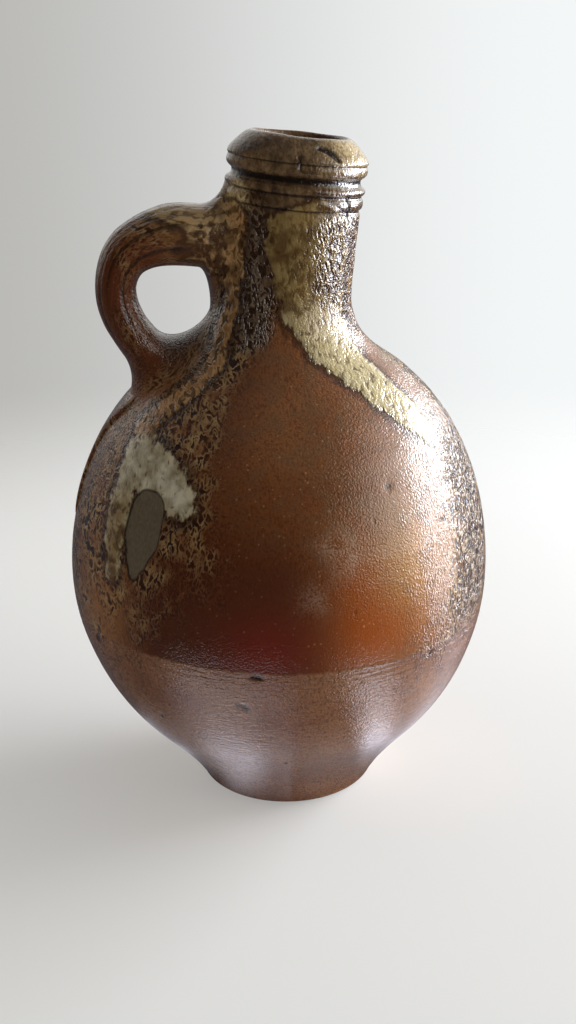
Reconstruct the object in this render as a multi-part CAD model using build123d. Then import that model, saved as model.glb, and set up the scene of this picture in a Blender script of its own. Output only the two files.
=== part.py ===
from build123d import *
import math
import os

# Salt-glazed stoneware jug, in millimetres. It stands on z = 0 and the body turns about Z.
# The handle is on the -X side and the neck leans away from it, towards +X.

# Thrown body
base_radius = 31.0
base_edge_round = 1.6
base_thickness = 9.0
foot_flare = 19.0
belly_radius = 71.1
belly_height = 80.5
belly_drop = 77.4
shoulder_rise = 82.0
wall = 5.5

# Thrown neck, luted on the shoulder
neck_radius = 21.7
neck_root_round = 28.0
neck_lean = 6.8
throat_radius = 15.5
neck_straight = 25.2

# Ringed rim, measured along the leaning neck
lip_height = 6.6
lip_crest_radius = 15.2
lip_radius = 22.0
cordon_radius = 22.3
cordon_height = 4.0
cordon_groove_depth = 1.6
cordon_groove_height = 2.8
band_radius = 22.0
band_height = 2.6
collar_radius = 21.9
collar_height = 4.4
ring_line_depth = 0.9

# Mouth, where the cork goes
mouth_radius = 13.5
mouth_length = 24.0
mouth_round = 3.0

# Pulled handle: how far up the neck it springs, how far out and down its bow goes,
# and how far below the neck's seam its foot and its tail land
handle_spring = 15.2
handle_span = 35.0
handle_bow_drop = 16.6
handle_foot_drop = 5.2
tail_drop = 24.0
strap_top_thickness = 20.0
strap_bow_thickness = 13.0
strap_foot_thickness = 13.4
strap_top_width = 24.0
strap_bow_width = 20.0
strap_foot_width = 21.0
tail_width = 22.0
tail_thickness = 4.0

# Luting slip at the joints
slip_thickness = 0.8
slip_side = 0.7
top_slip = 5.0
top_slip_inside = 9.0
top_slip_reach = 11.0
foot_slip_side = 3.5
foot_slip_inside = 18.0
foot_slip_reach = 21.0

lean = math.radians(neck_lean)


def lower_turn(t):
    """Outer wall below the belly: radius and height at angle t under the widest turn."""
    return belly_radius * math.cos(t), belly_height - belly_drop * math.sin(t)


def upper_turn(t):
    """Outer wall above the belly, up to the seam with the neck."""
    return belly_radius * math.cos(t), belly_height + shoulder_rise * math.sin(t)


def upper_normal(t):
    """Outward direction of the shoulder at angle t."""
    nr = math.cos(t) / belly_radius
    nz = math.sin(t) / shoulder_rise
    size = math.hypot(nr, nz)
    return nr / size, nz / size


def body_radius(z):
    """Outer radius of the shoulder at a height above the belly."""
    return belly_radius * math.sqrt(1 - ((z - belly_height) / shoulder_rise) ** 2)


# The neck springs where its root curve is tangent to the shoulder.
low, high = 0.2, 1.5
for _ in range(50):
    mid = (low + high) / 2
    if upper_turn(mid)[0] + neck_root_round * upper_normal(mid)[0] > neck_radius + neck_root_round:
        low = mid
    else:
        high = mid
seam_turn = (low + high) / 2
seam_radius, seam_height = upper_turn(seam_turn)
root_height = neck_root_round * upper_normal(seam_turn)[1]
inner_rise = shoulder_rise - wall
inner_drop = belly_height - base_thickness
inner_radius = belly_radius - wall
seam_bore = inner_radius * math.sqrt(1 - ((seam_height - belly_height) / inner_rise) ** 2)

# Thrown body
foot_turn = math.acos((base_radius + foot_flare) / belly_radius)
lower = [lower_turn(foot_turn * (1 - i / 6)) for i in range(7)]
upper = [upper_turn(seam_turn * i / 7) for i in range(8)]
foot_dir = (belly_radius * math.sin(foot_turn), belly_drop * math.cos(foot_turn))
seam_dir = (-belly_radius * math.sin(seam_turn), shoulder_rise * math.cos(seam_turn))
inner_turn = math.acos(seam_bore / inner_radius)
inner_up = [
    (inner_radius * math.cos(a), belly_height + inner_rise * math.sin(a))
    for a in [inner_turn * (1 - i / 7) for i in range(8)]
]
inner_low = [
    (inner_radius * math.cos(a), belly_height - inner_drop * math.sin(a))
    for a in [math.pi / 2 * i / 8 for i in range(9)]
]
inner_dir = (inner_radius * math.sin(inner_turn), -inner_rise * math.cos(inner_turn))

foot_edge = (base_radius, base_edge_round)
outline = Polyline((0, 0), (base_radius - base_edge_round, 0))
outline += RadiusArc((base_radius - base_edge_round, 0), foot_edge, -base_edge_round)
outline += Spline(foot_edge, lower[0], tangents=[(0.65, 1), foot_dir])
outline += Spline(*lower, tangents=[foot_dir, (0, 1)])
outline += Spline(*upper, tangents=[(0, 1), seam_dir])
filled_outline = outline + Polyline(upper[-1], (0, seam_height), (0, 0))
filled_body = revolve(Plane.XZ * make_face(filled_outline), Axis.Z)

outline += Line(upper[-1], inner_up[0])
outline += Spline(*inner_up, tangents=[inner_dir, (0, -1)])
outline += Spline(*inner_low, tangents=[(0, -1), (-1, 0)])
outline += Line(inner_low[-1], (0, 0))
thrown_body = revolve(Plane.XZ * make_face(outline), Axis.Z)

# Slip ring between the body and the neck
filled_slip = Pos(0, 0, seam_height) * extrude(Circle(seam_radius), slip_thickness)
slip_bore = Pos(0, 0, seam_height) * extrude(Circle(seam_bore), slip_thickness)
neck_luting_slip = filled_slip - slip_bore

# Neck root: it starts level on the shoulder and bends over to the lean of the rim.
root_base = seam_height + slip_thickness
bend_radius = root_height / lean
bend_x = bend_radius * (1 - math.cos(lean))
bend_z = root_base + bend_radius * math.sin(lean)
root_steps = 8
root_outer = []
root_inner = []
for i in range(root_steps + 1):
    part = i / root_steps
    angle = lean * part
    spot = Pos(bend_radius * (1 - math.cos(angle)), 0, root_base + bend_radius * math.sin(angle))
    spot *= Rot(0, math.degrees(angle), 0)
    rise = root_height * (1 - part)
    outer = neck_radius + neck_root_round - math.sqrt(neck_root_round**2 - rise**2)
    inner = throat_radius + (seam_bore - throat_radius) * (1 - part) ** 2
    root_outer.append(spot * Circle(outer))
    root_inner.append(spot * Circle(inner))
root_solid = loft(root_outer)
root_bore = loft(root_inner)

# Straight neck and rim, turned about the leaning axis
collar_foot = neck_straight
band_foot = collar_foot + collar_height
groove_foot = band_foot + band_height
cordon_foot = groove_foot + cordon_groove_height
lip_foot = cordon_foot + cordon_height
rim_top = lip_foot + lip_height
groove_radius = cordon_radius - cordon_groove_depth
line_radius = collar_radius - ring_line_depth

rim = Line((throat_radius, 0), (neck_radius, 0))
rim += Line((neck_radius, 0), (neck_radius - 0.2, collar_foot - 1.5))
rim += Line((neck_radius - 0.2, collar_foot - 1.5), (line_radius, collar_foot))
rim += ThreePointArc(
    (line_radius, collar_foot),
    (collar_radius, collar_foot + 0.55 * collar_height),
    (line_radius + 0.3, band_foot),
)
rim += ThreePointArc(
    (line_radius + 0.3, band_foot),
    (band_radius, band_foot + 0.5 * band_height),
    (groove_radius, groove_foot),
)
rim += Line((groove_radius, groove_foot), (groove_radius, cordon_foot))
rim += ThreePointArc(
    (groove_radius, cordon_foot),
    (cordon_radius, cordon_foot + 0.5 * cordon_height),
    (lip_radius - ring_line_depth, lip_foot),
)
rim += ThreePointArc(
    (lip_radius - ring_line_depth, lip_foot),
    (lip_radius, lip_foot + 0.2 * lip_height),
    (lip_radius - ring_line_depth, lip_foot + 0.4 * lip_height),
)
rim += Spline(
    (lip_radius - ring_line_depth, lip_foot + 0.4 * lip_height),
    (lip_crest_radius, rim_top),
    tangents=[(-0.7, 1), (-1, 0.0)],
)
rim += Spline(
    (lip_crest_radius, rim_top),
    (mouth_radius, rim_top - mouth_round),
    tangents=[(-1, 0.0), (0.0, -1)],
)
rim += Line((mouth_radius, rim_top - mouth_round), (mouth_radius, rim_top - mouth_length))
rim += Line((mouth_radius, rim_top - mouth_length), (throat_radius, 0))
tilt = Pos(bend_x, 0, bend_z) * Rot(0, neck_lean, 0)
rim_solid = tilt * revolve(Plane.XZ * make_face(rim), Axis.Z)
neck_plug = tilt * extrude(Circle(neck_radius - 0.6), rim_top)

thrown_neck = (root_solid - root_bore) + rim_solid
filled_neck = root_solid + rim_solid + neck_plug

# Pulled handle: a tapering strap from the neck, round the bow and down to the shoulder
handle_top_height = bend_z + handle_spring
handle_bow_height = handle_top_height - handle_bow_drop
handle_foot_height = seam_height - handle_foot_drop
tail_end_height = handle_foot_height - tail_drop
neck_x = bend_x + handle_spring * math.tan(lean)
handle_reach = neck_radius - neck_x + handle_span
bow_x = handle_reach - 1.1 * handle_bow_drop
land_radius = body_radius(handle_foot_height)
path = Spline(
    (neck_x - 0.45 * neck_radius, 0, handle_top_height),
    (-bow_x, 0, handle_top_height),
    (-(bow_x + 0.84 * handle_bow_drop), 0, handle_bow_height + 0.74 * handle_bow_drop),
    (-handle_reach, 0, handle_bow_height),
    (
        -(0.62 * handle_reach + 0.38 * land_radius),
        0,
        handle_bow_height - 0.45 * (handle_bow_height - handle_foot_height),
    ),
    (-land_radius - 0.05 * strap_foot_thickness, 0, handle_foot_height),
    (
        -land_radius + 0.3 * strap_foot_thickness,
        0,
        handle_foot_height - 0.56 * strap_foot_thickness,
    ),
    tangents=[(-1, 0, 0), (0.5, 0, -0.85)],
)


def strap_section(u):
    """Strap outline across the path at u, thickest at the neck and thinnest at the bow."""
    if u < 0.6:
        blend = math.sin(math.pi / 2 * u / 0.6) ** 2
        ends = (strap_top_thickness, strap_bow_thickness, strap_top_width, strap_bow_width)
    else:
        blend = ((u - 0.6) / 0.4) ** 2
        ends = (strap_bow_thickness, strap_foot_thickness, strap_bow_width, strap_foot_width)
    thick = ends[0] + (ends[1] - ends[0]) * blend
    broad = ends[2] + (ends[3] - ends[2]) * blend
    here = Plane(origin=path @ u, x_dir=(0, 1, 0), z_dir=path % u)
    return here * Ellipse(broad / 2, thick / 2)


strap = loft([strap_section(i / 12) for i in range(13)])


def tail_section(part):
    """Pressed tail across the shoulder, part of the way from the strap's foot to the tip."""
    z = handle_foot_height + (tail_end_height - handle_foot_height) * part
    r = body_radius(z)
    slope = belly_radius**2 * (z - belly_height) / (shoulder_rise**2 * r)
    here = Plane(origin=(-r, 0, z), x_dir=(0, 1, 0), z_dir=(-slope, 0, -1))
    broad = tail_width * (1 - 0.75 * part**2)
    thick = 2 * tail_thickness * (1 - 0.8 * math.sqrt(part))
    return here * Ellipse(broad / 2, thick / 2)


tail = loft([tail_section(i / 5) for i in range(6)])
pulled_handle = strap + tail - filled_neck - filled_body


def slip_section(u, inside, outside, sides):
    """Strap outline grown by slip inside the loop, outside it and on its two sides."""
    near_top = u < 0.5
    thick = strap_top_thickness if near_top else strap_foot_thickness
    broad = strap_top_width if near_top else strap_foot_width
    here = Plane(origin=path @ u, x_dir=(0, 1, 0), z_dir=path % u)
    oval = Ellipse(broad / 2 + sides, thick / 2 + (inside + outside) / 2)
    return here * Pos(0, (inside - outside) / 2) * oval


# Slip wiped into the corner round the top of the handle, hollow towards the strap
grown = [1.0, 0.62, 0.36, 0.18, 0.06]
slip_steps = [i / (len(grown) - 1) for i in range(len(grown))]
top_start = (0.51 * neck_radius) / path.length
top_steps = [top_start + top_slip_reach * i / path.length for i in slip_steps]
top_collar = loft(
    [
        slip_section(u, top_slip_inside * g, top_slip * g, slip_side * top_slip * g)
        for u, g in zip(top_steps, grown)
    ]
)
handle_top_slip = top_collar - filled_neck - pulled_handle

# Slip under the bow: it fills the bottom of the finger hole and stops at the strap's outer side
foot_start = 1 - 0.3 * strap_foot_thickness / path.length
foot_steps = [foot_start - foot_slip_reach * i / path.length for i in slip_steps]
foot_collar = loft(
    [
        slip_section(u, foot_slip_inside * g, -0.3 * strap_foot_thickness, foot_slip_side * g)
        for u, g in zip(foot_steps, grown)
    ]
)
handle_foot_slip = foot_collar - filled_body - filled_neck - filled_slip - pulled_handle

nodes = {
    "thrown_body": thrown_body,
    "neck_luting_slip": neck_luting_slip,
    "thrown_neck": thrown_neck,
    "pulled_handle": pulled_handle,
    "handle_top_slip": handle_top_slip,
    "handle_foot_slip": handle_foot_slip,
}
os.makedirs("parts", exist_ok=True)
for name, shape in nodes.items():
    export_step(shape, "parts/" + name + ".step")
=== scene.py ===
import math

import bpy
import numpy as np
from mathutils import Matrix


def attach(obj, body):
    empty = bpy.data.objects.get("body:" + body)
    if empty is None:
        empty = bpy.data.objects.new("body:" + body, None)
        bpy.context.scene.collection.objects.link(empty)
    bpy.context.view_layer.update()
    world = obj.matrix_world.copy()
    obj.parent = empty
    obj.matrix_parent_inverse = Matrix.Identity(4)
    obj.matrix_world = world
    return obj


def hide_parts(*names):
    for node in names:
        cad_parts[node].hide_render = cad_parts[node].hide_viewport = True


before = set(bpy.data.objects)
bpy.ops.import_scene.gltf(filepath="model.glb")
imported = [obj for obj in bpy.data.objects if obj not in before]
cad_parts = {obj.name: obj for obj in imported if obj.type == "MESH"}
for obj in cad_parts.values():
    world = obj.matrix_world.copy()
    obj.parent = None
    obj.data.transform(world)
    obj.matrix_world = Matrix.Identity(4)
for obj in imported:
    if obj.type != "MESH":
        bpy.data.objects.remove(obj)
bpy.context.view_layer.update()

# Salt-glazed stoneware jug. Its lengths are millimetres until a mesh is made; the floor, the lamps
# and the camera are in metres.
MM = 0.001

# Thrown body
base_radius = 31.0
base_edge = 1.6
foot_flare = 19.0
foot_slope = 0.65
base_thickness = 9.0
belly_radius = 71.1
belly_height = 80.5
belly_drop = 77.4
shoulder_rise = 82.0
wall = 5.5
ridge_height = 70.0

# The belly sags off the axis by this much in x and y, over this much of its height.
belly_shift = (-1.98, 0.24)
belly_spread = 55.0

# Thrown neck
neck_radius = 21.7
root_round = 28.0
lean = math.radians(6.8)
throat_radius = 15.5
mouth_radius = 13.5
slip_ring = 0.8

# Ends of the mouth's straight bore, above the bend
bore_top = 42.4
bore_bottom = 21.6

# Pulled handle, from the neck round to its foot, in the plane of the loop: the outer outline's
# x and z, the inner outline's x and z, and the strap's width there
strap_rows = [
    (-25.5, 201.3, -27.0, 181.8, 24.0), (-31.0, 201.6, -31.5, 182.4, 23.6),
    (-36.5, 201.3, -35.5, 182.6, 23.0), (-42.0, 199.7, -39.2, 182.3, 22.3),
    (-47.8, 196.9, -42.2, 181.5, 21.6), (-53.0, 193.0, -44.4, 180.3, 21.0),
    (-56.9, 187.2, -45.9, 178.2, 20.4), (-59.2, 179.5, -46.6, 175.4, 20.0),
    (-59.4, 171.6, -46.3, 172.4, 20.0), (-57.6, 164.6, -45.3, 169.2, 20.0),
    (-54.6, 158.8, -43.6, 165.6, 20.4), (-52.2, 154.9, -41.4, 162.6, 21.0),
]

# Faces round the body, the neck and the strap
body_columns = 360
neck_columns = 240
strap_round = 128

# Grooves pulled along the strap and the waver of its thickness, as shares of its size
strap_groove = 0.030
strap_waver = 0.008

# Where the slip of the handle's two ends lands: above the bend on the neck, at a height on the
# shoulder, half its width, and how far it spreads over and under the strap's end
top_landing = 15.0
foot_landing = 147.0
landing_half = 15.4
top_spread = (15.2, 26.0)
foot_spread = (15.5, 27.0)

# The handle's tail, from its top down the shoulder: half its width at both ends, its thickness
# and how deep it is bedded in the wall
tail_top = 148.0
tail_length = 49.0
tail_half = (13.0, 4.5)
tail_thickness = 2.3
tail_bed = 0.9

# The neck springs where its root curve is tangent to the shoulder.
turn = np.linspace(0.2, 1.5, 20001)
tilt = np.stack([np.cos(turn) / belly_radius, np.sin(turn) / shoulder_rise])
tilt /= np.linalg.norm(tilt, axis=0)
reach = belly_radius * np.cos(turn) + root_round * tilt[0] - neck_radius - root_round
seam_turn = float(np.interp(0.0, -reach, turn))
seam_height = belly_height + shoulder_rise * math.sin(seam_turn)
root_height = root_round * float(np.interp(seam_turn, turn, tilt[1]))
root_base = seam_height + slip_ring
bend_radius = root_height / lean
bend_end = root_base + root_height


def smooth(low, high, value):
    """0 below low, 1 above high, easing between them."""
    part = np.clip((value - low) / (high - low), 0, 1)
    return part * part * (3 - 2 * part)


def bump_at(value, centre, spread):
    """1 at the centre, fading to both sides."""
    return np.exp(-(((value - centre) / spread) ** 2))


def eased(t, start, leave, end, arrive):
    """Cubic from start to end that leaves and arrives along the two given directions."""
    return (
        (2 * t**3 - 3 * t**2 + 1) * start
        + (t**3 - 2 * t**2 + t) * leave
        + (3 * t**2 - 2 * t**3) * end
        + (t**3 - t**2) * arrive
    )


# Profiles as (radius, height along the axis)


def spaced(points, step):
    """Lays points along a profile, as far apart as step(radius, height) asks."""
    points = np.array(points, float)
    length = np.hypot(*np.diff(points, axis=0).T)
    count = np.maximum(1, np.ceil(length / 0.04)).astype(int)
    fine = np.concatenate(
        [np.linspace(points[i], points[i + 1], n, endpoint=False) for i, n in enumerate(count)]
        + [points[-1:]]
    )
    apart = np.hypot(*np.diff(fine, axis=0).T)
    middle = (fine[1:] + fine[:-1]) / 2
    tally = np.concatenate([[0], np.cumsum(apart / step(middle[:, 0], middle[:, 1]))])
    marks = np.linspace(0, tally[-1], max(2, int(round(tally[-1])) + 1))
    return np.stack([np.interp(marks, tally, fine[:, k]) for k in (0, 1)], 1)


def softened(points, spread, step=0.05):
    """Rounds the corners of a profile by averaging it along its length; its ends stay."""
    fine = spaced(points, lambda r, h: np.full_like(r, step))
    reach = int(3 * spread / step)
    kernel = np.exp(-0.5 * (np.arange(-reach, reach + 1) * step / spread) ** 2)
    kernel /= kernel.sum()
    ends = [2 * fine[0] - fine[reach:0:-1], fine, 2 * fine[-1] - fine[-2 : -reach - 2 : -1]]
    padded = np.concatenate(ends)
    return np.stack([np.convolve(padded[:, k], kernel, "valid") for k in (0, 1)], 1)


def below_belly():
    """Base edge, foot and lower belly."""
    edge = [
        (base_radius - base_edge + base_edge * math.cos(a), base_edge + base_edge * math.sin(a))
        for a in np.linspace(-math.pi / 2, 0, 9)
    ]
    join = math.acos((base_radius + foot_flare) / belly_radius)
    low_end = np.array([base_radius, base_edge])
    high_end = np.array([base_radius + foot_flare, belly_height - belly_drop * math.sin(join)])
    size = np.hypot(*(high_end - low_end))
    start = np.array([foot_slope, 1.0]) * size / math.hypot(foot_slope, 1.0)
    finish = np.array([belly_radius * math.sin(join), belly_drop * math.cos(join)])
    finish *= size / np.hypot(*finish)
    t = np.linspace(0, 1, 60)[1:-1, None]
    foot = eased(t, low_end, start, high_end, finish)
    turns = np.linspace(join, 0, 120)
    belly = np.stack(
        [belly_radius * np.cos(turns), belly_height - belly_drop * np.sin(turns)], 1
    )
    return np.concatenate([edge, foot, belly])


def above_belly():
    """Shoulder and the neck's root, with the seam between them wiped smooth."""
    turns = np.linspace(0, seam_turn, 160)[:-1]
    shoulder = np.stack(
        [belly_radius * np.cos(turns), belly_height + shoulder_rise * np.sin(turns)], 1
    )
    part = np.linspace(0, 1, 60)
    rise = root_height * (1 - part)
    root = np.stack(
        [
            neck_radius + root_round - np.sqrt(root_round**2 - rise**2),
            seam_height + (bend_end - seam_height) * part,
        ],
        1,
    )
    return softened(np.concatenate([shoulder, root]), 1.6)


def ringed_rim():
    """Waist of the neck and the rings of its rim, up to the crest of the lip."""
    rings = [
        (21.70, 0.0), (21.55, 9.0), (21.45, 17.0), (21.50, 22.4), (21.40, 23.5),
        (20.90, 24.0), (20.90, 24.4), (21.80, 25.1), (22.05, 26.3), (21.80, 27.7),
        (21.15, 28.4), (21.15, 28.7), (22.00, 29.3), (22.35, 30.2), (21.95, 31.1),
        (20.80, 31.7), (20.40, 32.6), (20.45, 33.7), (21.40, 34.4), (22.15, 35.2),
        (22.35, 36.2), (22.25, 37.3), (21.85, 37.75), (21.85, 38.0), (22.35, 38.5),
        (22.25, 39.3), (21.30, 40.7), (19.85, 42.3), (18.30, 43.85), (16.95, 44.95),
        (15.95, 45.45), (15.10, 45.6),
    ]
    return softened(rings, 0.24) + [0, bend_end]


# The whole outside as (radius, height), parted at the seam of body and neck
wall_line = np.concatenate([below_belly(), above_belly()[1:], ringed_rim()[1:]])
wall_run = np.concatenate([[0], np.cumsum(np.hypot(*np.diff(wall_line, axis=0).T))])
seam_row = int(np.searchsorted(wall_line[:, 1], seam_height))
seam = (float(np.interp(seam_height, wall_line[:, 1], wall_line[:, 0])), seam_height)
in_radius, in_rise = belly_radius - wall, shoulder_rise - wall
seam_bore = in_radius * math.sqrt(1 - ((seam_height - belly_height) / in_rise) ** 2)


def body_step(r, h):
    """Rows close together at the turning ridge, the base edge and the seam."""
    step = 1.15 - 0.75 * bump_at(h, ridge_height - 2.5, 4.5) - 0.7 * bump_at(h, 0.5, 2.5)
    return np.maximum(0.08, step - 1.08 * bump_at(h, seam_height, 0.9))


def body_profile():
    """Closed profile of the body, from under the base round to the floor inside."""
    under = [(0.0, 0.65), (9.0, 0.6), (18.0, 0.45), (24.0, 0.15), (26.4, 0.0)]
    outer = spaced(np.concatenate([wall_line[:seam_row], [seam]]), body_step)
    turns = np.linspace(math.acos(seam_bore / in_radius), 0, 16)
    inner = [(in_radius * math.cos(a), belly_height + in_rise * math.sin(a)) for a in turns]
    for a in np.linspace(0, math.pi / 2, 19)[1:]:
        height = belly_height - (belly_height - base_thickness) * math.sin(a)
        inner.append((in_radius * math.cos(a), height))
    inner[-1] = (0.0, base_thickness)
    return np.concatenate([under, outer, inner]), (len(under), len(under) + len(outer))


def neck_step(r, h):
    """Rows closest together on the rings of the rim and at the seam."""
    rim = smooth(bend_end + 21.5, bend_end + 23.0, h)
    step = 0.62 - 0.33 * rim + 0.1 * smooth(bend_end + 42, bend_end + 44, h)
    return np.maximum(0.06, step - 0.58 * bump_at(h, seam_height, 0.7))


def neck_profile():
    """Closed profile of the neck, up the outside, over the lip and down the bore."""
    outer = spaced(np.concatenate([[seam], wall_line[seam_row:]]), neck_step)
    lip = [(15.1, 45.6), (14.2, 45.2), (mouth_radius + 0.1, 44.0), (mouth_radius, bore_top)]
    lip = softened(lip, 0.25)
    lip = spaced(lip, lambda r, h: np.full_like(r, 0.4))[1:] + [0, bend_end]
    inner = [(mouth_radius, bend_end + a) for a in np.linspace(bore_top, bore_bottom, 10)[1:]]
    for t in np.linspace(0, 1, 8)[1:]:
        radius = mouth_radius + (throat_radius - mouth_radius) * t
        inner.append((radius, bend_end + bore_bottom * (1 - t)))
    for part in np.linspace(1, 0, 9)[1:]:
        radius = throat_radius + (seam_bore - throat_radius) * (1 - part) ** 2
        inner.append((radius, root_base + root_height * part))
    inner += [(seam_bore, seam_height), seam]
    return np.concatenate([outer, lip, inner]), (0, len(outer))


def wall_radius(h):
    """Radius of the outside at a height along the centre line."""
    return np.interp(h, wall_line[:, 1], wall_line[:, 0])


def wall_length(h):
    """Distance along the outside from under the base up to a height."""
    return np.interp(h, wall_line[:, 1], wall_run)


def axis_at(h):
    """Centre line of the jug at a height along it: x, z and how far it leans there."""
    angle = np.clip((h - root_base) / root_height, 0, 1) * lean
    over = np.maximum(h - bend_end, 0)
    x = bend_radius * (1 - np.cos(angle)) + over * np.sin(angle)
    z = np.minimum(h, root_base) + bend_radius * np.sin(angle) + over * np.cos(angle)
    return x, z, angle


def wall_point(turn, h, out=0.0):
    """Spot on the outside at an angle round the jug and a height along its centre line."""
    x, z, angle = axis_at(h)
    r = wall_radius(h) + out
    sway = bump_at(h, belly_height, belly_spread)
    return np.stack(
        [
            x + r * np.cos(turn) * np.cos(angle) + belly_shift[0] * sway,
            r * np.sin(turn) + belly_shift[1] * sway,
            z - r * np.cos(turn) * np.sin(angle),
        ],
        -1,
    )


def wall_normal(turn, h):
    """Direction out of the wall at a spot of it."""
    across = wall_point(turn + 1e-4, h) - wall_point(turn - 1e-4, h)
    along = wall_point(turn, h + 0.05) - wall_point(turn, h - 0.05)
    out = np.cross(across, along)
    return out / np.linalg.norm(out, axis=-1, keepdims=True)


# Nodes

MATH, VECTOR = "ShaderNodeMath", "ShaderNodeVectorMath"
RAMP, MIX = "ShaderNodeMapRange", "ShaderNodeMix"


def add(tree, kind, feeds=None, **settings):
    """Adds one node: its settings, then what feeds its inputs, by name or by place."""
    node = tree.nodes.new(kind)
    for name, value in settings.items():
        setattr(node, name, value)
    for key, value in (feeds or {}).items():
        if isinstance(key, str):
            socket = next(s for s in node.inputs if s.name == key and s.enabled)
        else:
            socket = node.inputs[key]
        if isinstance(value, bpy.types.Node):
            value = next(s for s in value.outputs if s.enabled)
        if isinstance(value, bpy.types.NodeSocket):
            tree.links.new(value, socket)
        else:
            socket.default_value = value
    return node


def linear(text):
    """sRGB hex colour as linear red, green, blue and 1."""
    parts = [int(text[i : i + 2], 16) / 255 for i in (1, 3, 5)]
    flat = [c / 12.92 if c <= 0.04045 else ((c + 0.055) / 1.055) ** 2.4 for c in parts]
    return (*flat, 1.0)


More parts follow.
